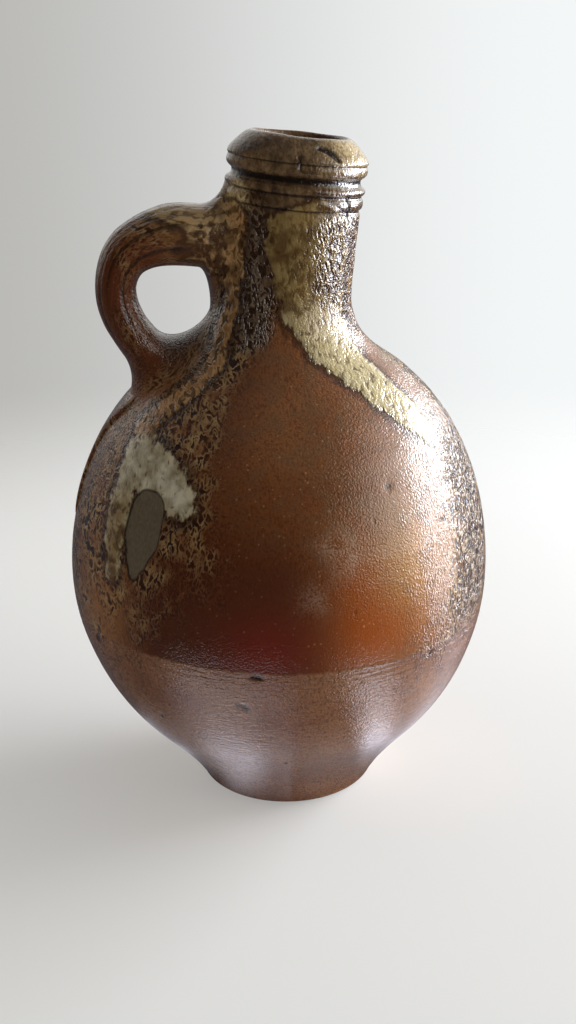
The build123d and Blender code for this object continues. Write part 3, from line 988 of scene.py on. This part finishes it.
def brown_clay(tree, mask):
    """Brown clay under the salt, clouded, flushed and scorched by the fire, with light specks that
    are painted highlights of the orange peel.
    """
    cloud = add(tree, RAMP, {"Value": mask["broad"], "From Min": 0.32, "From Max": 0.68})
    dusk = add(
        tree, RAMP, {"Value": mask["fine"], "From Min": 0.55, "From Max": 0.30, "To Max": 0.75}
    )
    haze = add(
        tree, RAMP, {"Value": mask["wide"], "From Min": 0.42, "From Max": 0.66, "To Max": 0.4}
    )
    rub = add(tree, MATH, {0: mask["peel"], 1: mask["wide"]}, operation="MULTIPLY")
    rub = add(tree, RAMP, {"Value": rub, "From Min": 0.18, "From Max": 0.34, "To Max": 0.6})
    mask.update(cloud=cloud, dusk=dusk)
    # How strongly each drawn field tints the clay
    for key, share in (
        ("tan", 0.8), ("flush", 0.9), ("scorch", 0.9), ("blush", 0.7), ("scuff", rub),
    ):
        mask[key] = add(
            tree, MATH, {0: mask[key], 1: share}, operation="MULTIPLY", use_clamp=True
        )
    # Light specks: painted highlights, the orange peel's tiny glints laid into the colour
    dots = add(tree, "ShaderNodeTexVoronoi", {"Vector": mask["place"], "Scale": 1 / (1.9 * MM)})
    pick = add(tree, "ShaderNodeSeparateColor", {"Color": dots.outputs["Color"]})
    painted_glint_specks = add(tree, RAMP, {"Value": pick, "From Min": 0.35, "From Max": 1.0, "To Min": 0.08,
                             "To Max": 0.21})
    painted_glint_specks = add(tree, MATH, {0: painted_glint_specks, 1: dots.outputs["Distance"]}, operation="SUBTRACT")
    painted_glint_specks = add(tree, RAMP, {"Value": painted_glint_specks, "From Min": -0.05, "From Max": 0.08, "To Max": 0.4})
    faded = add(tree, RAMP, {"Value": mask["scorch"], "To Min": 1.0, "To Max": 0.25})
    painted_glint_specks = add(tree, MATH, {0: painted_glint_specks, 1: faded}, operation="MULTIPLY")
    colour = linear("#7c4926")
    for share, hue in (
        (cloud, "#8f5c34"), (dusk, "#55301a"), (haze, "#6f563c"), (mask["tan"], "#b8884b"),
        (mask["flush"], "#9c4d15"), (mask["scorch"], "#4d2009"), (mask["blush"], "#741d0e"),
        (mask["scuff"], "#b99c86"), (painted_glint_specks, "#c9a077"),
    ):
        colour = add(tree, MIX, {"Factor": share, "A": colour, "B": linear(hue)}, data_type="RGBA")
    return colour


def turned_foot(tree, mask, colour):
    """Turned foot below the ridge, paler and pinker."""
    low = add(tree, MATH, {0: mask["edge"], 1: 2.0, 2: -1.0}, operation="MULTIPLY_ADD")
    low = add(tree, MATH, {0: mask["turned"], 1: low}, operation="ADD")
    low = add(tree, RAMP, {"Value": low, "From Min": -0.5, "From Max": 0.6})
    mask["low"] = low
    warm = add(tree, MATH, {0: mask["tan"], 1: 0.6}, operation="MULTIPLY")
    foot = linear("#7e5138")
    for share, hue in ((mask["cloud"], "#997052"), (warm, "#bb8459"), (mask["dusk"], "#5f3d2b")):
        foot = add(tree, MIX, {"Factor": share, "A": foot, "B": linear(hue)}, data_type="RGBA")
    return add(tree, MIX, {"Factor": low, "A": colour, "B": foot}, data_type="RGBA")


def tiger_mottle(tree, mask, colour):
    """Tan worms on dark brown that thin out with the field, and on the neck a dark stripe that
    is threaded with grey. On the right limb that threaded dark is painted shade, laid where the
    glaze would mirror dark surroundings."""
    stir = add(tree, MATH, {0: mask["wide"], 1: 0.5}, operation="SUBTRACT")
    stir = add(tree, MATH, {0: mask["mottle"], 1: stir}, operation="ADD")
    tiger = add(tree, RAMP, {"Value": stir, "From Min": 0.16, "From Max": 0.85})
    size = add(tree, RAMP, {"Value": stir, "From Min": 0.45, "From Max": 0.75})
    crawl = add(tree, MIX, {"Factor": size, "A": mask["small"], "B": mask["worm"]})
    off = add(tree, MATH, {0: crawl, 1: 0.5}, operation="SUBTRACT")
    off = add(tree, MATH, {0: off}, operation="ABSOLUTE")
    mask.update(tiger=tiger, off=off)
    faint = add(
        tree, RAMP, {"Value": mask["edge"], "From Min": 0.35, "From Max": 0.60, "To Min": 0.3}
    )
    patch = add(
        tree, RAMP, {"Value": mask["wide"], "From Min": 0.34, "From Max": 0.56, "To Min": 0.55}
    )
    dark = add(tree, RAMP, {"Value": off, "From Min": 0.03, "From Max": 0.11})
    dark = add(tree, MATH, {0: dark, 1: patch}, operation="MULTIPLY")
    dark = add(tree, MATH, {0: dark, 1: tiger}, operation="MULTIPLY")
    pale = add(tree, RAMP, {"Value": off, "From Min": 0.085, "From Max": 0.025})
    pale = add(tree, MATH, {0: pale, 1: faint}, operation="MULTIPLY")
    pale = add(tree, MATH, {0: pale, 1: tiger}, operation="MULTIPLY")
    bead = add(
        tree, MIX, {"Factor": size, "A": linear("#7c4f30"), "B": linear("#ab8d60")},
        data_type="RGBA",
    )
    thread = add(tree, RAMP, {"Value": off, "From Min": 0.085, "From Max": 0.02})
    thread = add(tree, MATH, {0: thread, 1: faint}, operation="MULTIPLY")
    thread = add(
        tree, MIX, {"Factor": thread, "A": linear("#3b261c"), "B": linear("#84725f")},
        data_type="RGBA",
    )
    # Weight of the neck's dark stripe, and of painted shade on the right limb
    shade = add(tree, MATH, {0: mask["streak_and_painted_shade"], 1: 0.92}, operation="MULTIPLY")
    for share, laid in ((dark, linear("#2e170b")), (pale, bead), (shade, thread)):
        colour = add(tree, MIX, {"Factor": share, "A": colour, "B": laid}, data_type="RGBA")
    return colour


def rim_rings(tree, mask, colour):
    """Ringed rim, olive and grey-brown, tan on one side."""
    worn = add(tree, MATH, {0: mask["edge"], 1: mask["wide"]}, operation="ADD")
    worn = add(tree, RAMP, {"Value": worn, "From Min": 0.75, "From Max": 1.25})
    mask["worn"] = worn
    rim = linear("#3a2716")
    for share, hue in ((worn, "#806647"), (mask["tan"], "#c2ab7c"), (mask["dusk"], "#432f1f")):
        rim = add(tree, MIX, {"Factor": share, "A": rim, "B": linear(hue)}, data_type="RGBA")
    return add(tree, MIX, {"Factor": mask["rim"], "A": colour, "B": rim}, data_type="RGBA")


def ash_runs(tree, mask, colour):
    """Runs of melted ash with a ragged dark border, olive where thin and cream where thick, then
    the sooty dark over them, which on the right limb is painted shade, and painted shade in
    grooves and chips."""
    rag = add(tree, MATH, {0: mask["edge"], 1: 8.0, 2: -5.5}, operation="MULTIPLY_ADD")
    rag = add(tree, MATH, {0: mask["worm"], 1: 3.0, 2: rag}, operation="MULTIPLY_ADD")
    rag = add(tree, MATH, {0: mask["run"], 1: rag}, operation="ADD")
    border = add(tree, RAMP, {"Value": rag, "From Min": -4.0, "From Max": -1.8, "To Max": 0.75})
    inside = add(tree, RAMP, {"Value": rag, "From Min": -0.6, "From Max": 0.8})
    mask["inside"] = inside
    olive, ochre, cream, grey = (
        add(tree, MIX, {"Factor": mask[spread], "A": linear(thin), "B": linear(thick)},
            data_type="RGBA")
        for spread, thin, thick in (
            ("edge", "#634820", "#a18a5a"), ("edge", "#9c602d", "#d3ae7c"),
            ("edge", "#a88f4c", "#ded4b2"), ("worn", "#786a4a", "#d8d1bb"),
        )
    )
    # Dark seeds and blots, fewer where the melt is thick
    marks = []
    for noise, by_cream, by_ash, most in (("worm", 0.07, 0.05, 0.75), ("wide", 0.14, 0.10, 0.7)):
        clear = add(
            tree, MATH, {0: mask["cream"], 1: by_cream, 2: mask[noise]}, operation="MULTIPLY_ADD"
        )
        clear = add(tree, MATH, {0: mask["ash"], 1: by_ash, 2: clear}, operation="MULTIPLY_ADD")
        marks.append(add(
            tree, RAMP, {"Value": clear, "From Min": 0.52, "From Max": 0.40, "To Max": most}
        ))
    seed, blot = marks
    melt = olive
    for share, laid in (
        (mask["tan"], ochre), (mask["cream"], cream), (mask["ash"], grey),
        (seed, linear("#5c431f")), (blot, linear("#4c3318")),
    ):
        melt = add(tree, MIX, {"Factor": share, "A": melt, "B": laid}, data_type="RGBA")
    # Sooty dark: real on the neck and beside the ochre run, painted shade on the right limb
    soot_and_painted_shade = add(
        tree, RAMP, {"Value": mask["off"], "From Min": 0.05, "From Max": 0.10, "To Max": 0.92}
    )
    soot_and_painted_shade = add(tree, MATH, {0: soot_and_painted_shade, 1: mask["streak_and_painted_shade"]}, operation="MULTIPLY")
    # The last layer is painted shade in grooves, chips and pits
    for share, laid in (
        (border, linear("#331b0e")), (inside, melt), (soot_and_painted_shade, linear("#35200f")),
        (mask["painted_hollow_shade"], linear("#21160d")),
    ):
        colour = add(tree, MIX, {"Factor": share, "A": colour, "B": laid}, data_type="RGBA")
    return colour


def scar_and_pits(tree, mask, colour):
    """Kiln scar of bare grey stone with a thin cracked rim, pits burst by gas with painted shade
    in them, and the bare clay under the base."""
    torn = add(tree, MATH, {0: mask["edge"], 1: 1.2, 2: -0.6}, operation="MULTIPLY_ADD")
    torn = add(tree, MATH, {0: mask["scar"], 1: torn}, operation="ADD")
    crack = add(tree, RAMP, {"Value": torn, "From Min": -0.8, "From Max": -0.3, "To Max": 0.85})
    stuck = add(tree, RAMP, {"Value": torn, "From Min": -0.1, "From Max": 0.3})
    stone, clay = (
        add(tree, MIX, {"Factor": mask["fine"], "A": linear(dark), "B": linear(light)},
            data_type="RGBA")
        for dark, light in (("#524939", "#766b58"), ("#8a7562", "#a8927c"))
    )
    cells = add(tree, "ShaderNodeTexVoronoi", {"Vector": mask["grain"], "Scale": 1 / (6.5 * MM)})
    chance = add(tree, "ShaderNodeSeparateColor", {"Color": cells.outputs["Color"]})
    width = add(tree, RAMP, {"Value": chance, "From Min": 0.70, "From Max": 1.0, "To Min": -0.02,
                             "To Max": 0.14})
    # Pits, near-black with painted shade
    pit = add(tree, MATH, {0: width, 1: cells.outputs["Distance"]}, operation="SUBTRACT")
    pit = add(tree, RAMP, {"Value": pit, "From Min": -0.03, "From Max": 0.03})
    likely = add(tree, RAMP, {"Value": mask["low"], "To Min": 0.25, "To Max": 0.9})
    pit = add(tree, MATH, {0: pit, 1: likely}, operation="MULTIPLY")
    mask.update(stuck=stuck, pit=pit)
    for share, laid in (
        (crack, linear("#2a1d13")), (stuck, stone), (pit, linear("#241610")), (mask["bare"], clay),
    ):
        colour = add(tree, MIX, {"Factor": share, "A": colour, "B": laid}, data_type="RGBA")
    return colour


def glassy_skin(tree, mask):
    """Roughness, coat and relief: a satin body under a glassy skin with orange peel, strongest
    where the salt lies thick, and none of it on the scar and the bare clay."""
    inside, low, rim, stuck = mask["inside"], mask["low"], mask["rim"], mask["stuck"]
    glassy = add(tree, MATH, {0: inside, 1: mask["tiger"]}, operation="MAXIMUM")
    glassy = add(tree, MATH, {0: glassy, 1: rim}, operation="MAXIMUM")
    dull = add(tree, MATH, {0: stuck, 1: mask["bare"]}, operation="MAXIMUM")
    skin = add(tree, MATH, {0: 1.0, 1: dull}, operation="SUBTRACT")
    coat = add(tree, MATH, {0: skin, 1: 0.95}, operation="MULTIPLY")
    rough = add(tree, RAMP, {"Value": glassy, "To Min": 0.44, "To Max": 0.24})
    patchy = add(tree, RAMP, {"Value": mask["edge"], "From Min": 0.3, "From Max": 0.7,
                              "To Min": 0.8, "To Max": 1.3})
    rough = add(tree, MATH, {0: rough, 1: patchy}, operation="MULTIPLY")
    for share, flat in ((low, 0.26), (dull, 0.85)):
        rough = add(tree, MIX, {"Factor": share, "A": rough, "B": flat})

    swell = add(tree, RAMP, {"Value": glassy, "To Min": 0.36, "To Max": 0.50})
    tame = add(tree, RAMP, {"Value": rim, "To Min": 1.0, "To Max": 0.6})
    lively = add(tree, RAMP, {"Value": low, "To Min": 1.0, "To Max": 1.1})
    calm = add(tree, RAMP, {"Value": inside, "To Min": 1.0, "To Max": 0.8})
    for share in (tame, lively, skin, calm):
        swell = add(tree, MATH, {0: swell, 1: share}, operation="MULTIPLY")
    ridge = add(tree, RAMP, {"Value": mask["off"], "From Min": 0.16, "From Max": 0.0,
                             "To Max": 0.40}, interpolation_type="SMOOTHSTEP")
    crest = add(tree, MATH, {0: ridge, 1: mask["tiger"]}, operation="MULTIPLY")
    crest = add(tree, MIX, {"Factor": inside, "A": crest, "B": mask["worm"]})
    sooty = add(tree, MATH, {0: mask["streak_and_painted_shade"], 1: 3.0}, operation="MULTIPLY")
    crest = add(tree, MATH, {0: ridge, 1: sooty, 2: crest}, operation="MULTIPLY_ADD")
    crest = add(tree, MIX, {"Factor": rim, "A": crest, "B": mask["worm"]})
    relief = add(tree, MATH, {0: mask["peel"], 1: 0.5, 2: crest}, operation="MULTIPLY_ADD")
    turning = add(tree, RAMP, {"Value": low, "To Min": 0.15, "To Max": 0.70})
    relief = add(tree, MATH, {0: mask["comb"], 1: turning, 2: relief}, operation="MULTIPLY_ADD")
    relief = add(tree, MATH, {0: relief, 1: swell}, operation="MULTIPLY")
    for mark, height in ((inside, 0.15), (stuck, -0.25), (mask["pit"], -0.35)):
        relief = add(tree, MATH, {0: mark, 1: height, 2: relief}, operation="MULTIPLY_ADD")
    bump = add(tree, "ShaderNodeBump", {"Height": relief, "Strength": 1.0, "Distance": MM})
    return rough, coat, bump


def salt_glaze():
    """Salt-glazed stoneware: a thin glassy skin on brown clay. It gives the eye an orange-peel
    gloss, tiger mottling, pale runs where ash melted, and a smoother turned foot."""
    finish = bpy.data.materials.new("salt_glazed_stoneware")
    finish.use_nodes = True
    tree = finish.node_tree
    tree.nodes.clear()
    mask = glaze_masks(tree)
    colour = brown_clay(tree, mask)
    for lay in (turned_foot, tiger_mottle, rim_rings, ash_runs, scar_and_pits):
        colour = lay(tree, mask, colour)
    rough, coat, bump = glassy_skin(tree, mask)
    shell = add(
        tree,
        "ShaderNodeBsdfPrincipled",
        {"Base Color": colour, "Roughness": rough, "Normal": bump, "IOR": 1.5,
         "Specular IOR Level": 0.1, "Coat Weight": coat, "Coat Roughness": 0.06,
         "Coat Normal": bump},
    )
    add(tree, "ShaderNodeOutputMaterial", {"Surface": shell})
    return finish


# Pieces

glaze = salt_glaze()

body = ware("thrown_body", body_profile(), body_columns, glaze)
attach(body, "root")
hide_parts("thrown_body")

neck = ware("thrown_neck", neck_profile(), neck_columns, glaze)
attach(neck, "root")
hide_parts("thrown_neck", "neck_luting_slip")

strap, grooves, strap_flow = strap_rings()
top_joint, foot_joint = handle_joints(strap[0], strap[-1])
top_rings, foot_rings = strap[:1] + top_joint, strap[-1:] + foot_joint
tail = closed_leaf(*pressed_tail())
strap_points, tail_points = strap_round * len(strap) + 2, len(tail[0])
cap_flow = [np.zeros((2, 3))]
landing = np.repeat(smooth(0.30, 0.95, np.linspace(0, 1, len(top_rings))), strap_round)

# Each piece of the handle: its shells, where its pattern is read, and how much it takes of the
# glaze of the wall under it
for name, shells, grain, wall_share in (
    ("pulled_handle", [closed_rings(strap), tail],
     np.concatenate([strap_grain(strap_flow + cap_flow), wall_grain(tail[0])]),
     np.concatenate([np.zeros(strap_points), np.full(tail_points, 0.6)])),
    ("handle_top_slip", [closed_rings(top_rings[::-1])],
     strap_grain(smeared(top_rings, strap_flow[0] * [-1, 1, 1])[::-1] + cap_flow),
     np.concatenate([landing[::-1], [0, 0]])),
    ("handle_foot_slip", [closed_rings(foot_rings)],
     strap_grain(smeared(foot_rings, strap_flow[-1]) + cap_flow),
     np.concatenate([landing, [0, 0]])),
):
    piece, spots = clay_piece(name, shells, glaze)
    for key, values in handle_fields(spots, wall_share).items():
        write(piece.data, key, values)
    # Painted shade in the strap's pulled grooves
    painted_hollow_shade, bare = np.zeros((2, len(spots)))
    if name == "pulled_handle":
        painted_hollow_shade[: strap_points - 2] = 0.7 * np.concatenate(grooves)
    write(piece.data, "painted_hollow_shade", painted_hollow_shade)
    write(piece.data, "bare", bare)
    write(piece.data, "grain", grain * MM)
    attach(piece, "root")
    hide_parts(name)


# Floor, light and camera. The camera looks along +Y, turned a little towards +X.

view_turn = math.radians(7)
away = (math.sin(view_turn), math.cos(view_turn), 0)
toward = (-math.sin(view_turn), -math.cos(view_turn), 0)
rightward = (math.cos(view_turn), -math.sin(view_turn), 0)


def soft_window(tree, value, rise, fall, top=1.0):
    """Climbs from 0 to top over the rise, holds it, and drops to 0 over the fall."""
    up = add(tree, RAMP, {"Value": value, "From Min": rise[0], "From Max": rise[1], "To Max": top})
    down = add(tree, RAMP, {"Value": value, "From Min": fall[1], "From Max": fall[0]})
    return add(tree, MATH, {0: up, 1: down}, operation="MULTIPLY")


def painted_floor_reflection(tree, spot, far):
    """Strength of the painted reflection that the floor shows only to glossy rays: pale round the
    foot, dim at the left and bright at the right, with glowing patches far brighter than the lit
    floor and a painted shadow close round the foot, by distance from the jug in metres and
    angle from the camera's side."""
    ahead = add(tree, VECTOR, {0: spot, 1: toward}, operation="DOT_PRODUCT").outputs["Value"]
    across = add(tree, VECTOR, {0: spot, 1: rightward}, operation="DOT_PRODUCT").outputs["Value"]
    angle = add(tree, MATH, {0: across, 1: ahead}, operation="ARCTAN2")
    clear_of_foot = add(tree, RAMP, {"Value": far, "From Min": 0.029, "From Max": 0.042})

    card = soft_window(tree, angle, (-1.05, -0.70), (0.02, 0.08))
    slant = add(tree, MATH, {0: far, 1: 3.2, 2: -0.36}, operation="MULTIPLY_ADD")
    slant = add(tree, MATH, {0: angle, 1: slant}, operation="ADD")
    strip = soft_window(tree, slant, (0.55, 0.60), (0.76, 1.05))
    reach = add(tree, RAMP, {"Value": far, "From Min": 0.034, "From Max": 0.060, "To Max": 2.5})
    strip = add(tree, MATH, {0: strip, 1: reach}, operation="MULTIPLY")
    skirt = add(tree, RAMP, {"Value": far, "From Min": 0.085, "From Max": 0.050, "To Max": 0.30})
    for patch in (strip, skirt):
        card = add(tree, MATH, {0: card, 1: patch}, operation="MAXIMUM")
    near = add(tree, RAMP, {"Value": far, "From Min": 0.152, "From Max": 0.134})
    patch_size = 33.333 * MM
    uneven = add(tree, "ShaderNodeTexNoise", {"Vector": spot, "Scale": 1 / patch_size, "Detail": 2.0})
    uneven = add(tree, RAMP, {"Value": uneven, "From Min": 0.35, "From Max": 0.65, "To Min": 0.7,
                              "To Max": 2.7})
    lull = soft_window(tree, far, (0.058, 0.078), (0.082, 0.104))
    lull = add(tree, MATH, {0: lull, 1: -0.4, 2: 1.0}, operation="MULTIPLY_ADD")
    for share in (near, uneven, lull):
        card = add(tree, MATH, {0: card, 1: share}, operation="MULTIPLY")

    left = add(tree, RAMP, {"Value": angle, "From Min": -1.2, "From Max": -1.8, "To Min": 0.03,
                            "To Max": 0.10})
    right = add(tree, RAMP, {"Value": angle, "From Min": 1.0, "From Max": 1.52, "To Min": 0.03,
                             "To Max": 1.0})
    behind = add(tree, RAMP, {"Value": angle, "From Min": 1.85, "From Max": 2.1, "To Min": 1.0,
                              "To Max": 0.15})
    right = add(tree, MATH, {0: right, 1: behind}, operation="MULTIPLY")
    # Painted highlights: a sill and a gleam that glow far brighter than any lit floor
    sill = soft_window(tree, angle, (1.40, 1.50), (1.78, 1.92))
    distant = add(tree, RAMP, {"Value": far, "From Min": 0.50, "From Max": 0.62, "To Max": 28.0})
    sill = add(tree, MATH, {0: sill, 1: distant}, operation="MULTIPLY")
    gleam = soft_window(tree, angle, (1.50, 1.54), (1.64, 1.70), 30.0)
    belt = soft_window(tree, far, (0.19, 0.21), (0.28, 0.32))
    gleam = add(tree, MATH, {0: gleam, 1: belt}, operation="MULTIPLY")
    level = card
    for patch in (left, right, sill, gleam):
        level = add(tree, MATH, {0: level, 1: patch}, operation="MAXIMUM")
    return add(tree, MATH, {0: level, 1: clear_of_foot}, operation="MULTIPLY")


def pale_floor():
    """Matt pale board. It gives the eye the jug's soft shadow and fades into the backdrop; to
    glossy rays it shows a painted reflection instead.
    """
    finish = bpy.data.materials.new("pale_floor")
    finish.use_nodes = True
    tree = finish.node_tree
    tree.nodes.clear()
    rays = add(tree, "ShaderNodeLightPath").outputs
    spot = add(tree, "ShaderNodeTexCoord").outputs["Object"]
    far = add(tree, VECTOR, {0: spot}, operation="LENGTH").outputs["Value"]
    painted_reflection_glow = add(tree, "ShaderNodeEmission",
               {"Color": linear("#dfe1f0"), "Strength": painted_floor_reflection(tree, spot, far)})
    matte = add(tree, "ShaderNodeBsdfDiffuse", {"Color": linear("#c2c2c0")})
    lift = add(tree, "ShaderNodeEmission", {"Color": linear("#dfe0df"), "Strength": 0.40})
    board = add(tree, "ShaderNodeAddShader", {0: matte, 1: lift})
    fade = add(tree, RAMP, {"Value": far, "From Min": 0.22, "From Max": 0.60},
               interpolation_type="SMOOTHSTEP")
    clear = add(tree, "ShaderNodeBsdfTransparent")
    to_eye = add(tree, "ShaderNodeMixShader", {0: fade, 1: board, 2: clear})
    surface = board
    for ray, shown in (("Is Camera Ray", to_eye), ("Is Glossy Ray", painted_reflection_glow)):
        surface = add(tree, "ShaderNodeMixShader", {0: rays[ray], 1: surface, 2: shown})
    add(tree, "ShaderNodeOutputMaterial", {"Surface": surface})
    return finish


def studio():
    """Soft light from the back and the right flank; the camera sees paper instead, with painted
    light: darker at the left and lighter at the right.
    """
    world = bpy.data.worlds.new("studio")
    world.use_nodes = True
    tree = world.node_tree
    tree.nodes.clear()
    look = add(tree, "ShaderNodeTexCoord").outputs["Generated"]
    to_back, to_right = (
        add(tree, VECTOR, {0: look, 1: way}, operation="DOT_PRODUCT").outputs["Value"]
        for way in (away, rightward)
    )
    to_sky = add(tree, "ShaderNodeSeparateXYZ", {0: look}).outputs["Z"]
    back, flank, front, sky, side = (
        add(tree, RAMP, {"Value": way, "From Min": start, "From Max": end, "To Min": least,
                         "To Max": most}, interpolation_type="SMOOTHSTEP")
        for way, start, end, least, most in (
            (to_back, 0.2, 0.95, 0.025, 1.0), (to_right, 0.55, 0.95, 0.0, 4.2),
            (to_back, 0.45, 0.05, 0.0, 1.0), (to_sky, 0.40, 1.0, 0.0, 0.15),
            (to_right, -0.25, 0.22, 0.0, 1.0),
        )
    )
    dim = add(tree, RAMP, {"Value": to_right, "From Min": -0.4, "From Max": 0.2, "To Min": 0.68})
    back = add(tree, MATH, {0: back, 1: dim}, operation="MULTIPLY")
    above = add(tree, RAMP, {"Value": to_sky, "From Min": 0.0, "From Max": 0.12, "To Min": 0.15})
    nearer = add(tree, RAMP, {"Value": to_back, "From Min": 0.22, "From Max": 0.02})
    above = add(tree, MATH, {0: above, 1: nearer}, operation="MAXIMUM")
    for share in (front, above):
        flank = add(tree, MATH, {0: flank, 1: share}, operation="MULTIPLY")
    level = back
    for glow in (sky, flank):
        level = add(tree, MATH, {0: level, 1: glow}, operation="MAXIMUM")
    soft = add(tree, "ShaderNodeBackground", {"Color": linear("#f6f4f0"), "Strength": level})
    # Painted light on the paper: darker at the left, lighter at the right
    paper = add(tree, MIX, {"Factor": side, "A": linear("#b9b8b5"), "B": linear("#f4f7f7")},
                data_type="RGBA")
    plain = add(tree, "ShaderNodeBackground", {"Color": paper, "Strength": 1.0})
    ray = add(tree, "ShaderNodeLightPath").outputs["Is Camera Ray"]
    shown = add(tree, "ShaderNodeMixShader", {0: ray, 1: soft, 2: plain})
    add(tree, "ShaderNodeOutputWorld", {"Surface": shown})
    return world


def aimed(name, data, spot, target, roll=0.0):
    """Places a lamp or camera at a spot, looking at a target."""
    item = bpy.data.objects.new(name, data)
    bpy.context.collection.objects.link(item)
    look = np.array(target, float) - np.array(spot, float)
    look /= np.linalg.norm(look)
    side = np.cross(look, (0, 0, 1))
    side /= np.linalg.norm(side)
    top = np.cross(side, look)
    c, s = math.cos(roll), math.sin(roll)
    side, top = c * side + s * top, -s * side + c * top
    rows = np.stack([side, top, -look, np.array(spot, float)], 1)
    item.matrix_world = Matrix(rows.tolist() + [[0, 0, 0, 1]])
    return item


def round_the_jug(bearing, distance, height):
    """Spot in metres at a bearing, clockwise from the camera's line past the jug."""
    turn = math.radians(bearing) + view_turn
    return distance * math.sin(turn), distance * math.cos(turn), height


floor_radius, floor_corners = 3.0, 96
floor_mesh = bpy.data.meshes.new("floor")
floor_mesh.from_pydata(
    [(floor_radius * math.cos(a), floor_radius * math.sin(a), 0)
     for a in np.linspace(0, 2 * math.pi, floor_corners + 1)[:-1]],
    [],
    [tuple(range(floor_corners))],
)
floor = bpy.data.objects.new("floor", floor_mesh)
bpy.context.collection.objects.link(floor)
floor_mesh.materials.append(pale_floor())
bpy.context.scene.world = studio()

# Lamps in metres and watts: width, height, energy, colour, spot and roll. The glint is only
# mirrored, and the fill only lights.
jug_middle = (0, 0, 0.11)
pane = round_the_jug(66, 0.9, 0.305)
pane_roll = math.radians(14)
lamps = {}
for name, width, height, energy, hue, spot, roll in (
    ("window", 0.66, 0.32, 15.0, "#f6f9ff", pane, pane_roll),
    ("window_glint", 0.60, 0.30, 20.0, "#ffffff", pane, pane_roll),
    ("fill", 0.80, 0.80, 2.8, "#ffeedd", round_the_jug(-85, 1.0, 0.75), 0.0),
):
    light = bpy.data.lights.new(name, "AREA")
    light.shape = "RECTANGLE"
    light.size, light.size_y = width, height
    light.energy = energy
    light.color = linear(hue)[:3]
    lamps[name] = aimed(name, light, spot, jug_middle, roll)
lamps["window_glint"].visible_diffuse = False
lamps["fill"].visible_glossy = False

# The camera as fitted to the photo
focal_pixels, picture_pixels = 1300, 1024
lens = bpy.data.cameras.new("camera")
lens.sensor_fit = "VERTICAL"
lens.sensor_height = 24.0
lens.lens = lens.sensor_height * focal_pixels / picture_pixels
eye_distance, eye_height = 0.420, 0.251
pitch, yaw, roll = math.radians(20.2), math.radians(0.17), math.radians(-0.77)
eye = (eye_distance * toward[0], eye_distance * toward[1], eye_height)
aim = view_turn + yaw
gaze = (math.sin(aim) * math.cos(pitch), math.cos(aim) * math.cos(pitch), -math.sin(pitch))
camera = aimed("camera", lens, eye, np.add(eye, gaze), roll)
bpy.context.scene.camera = camera
bpy.context.scene.view_settings.view_transform = "Standard"
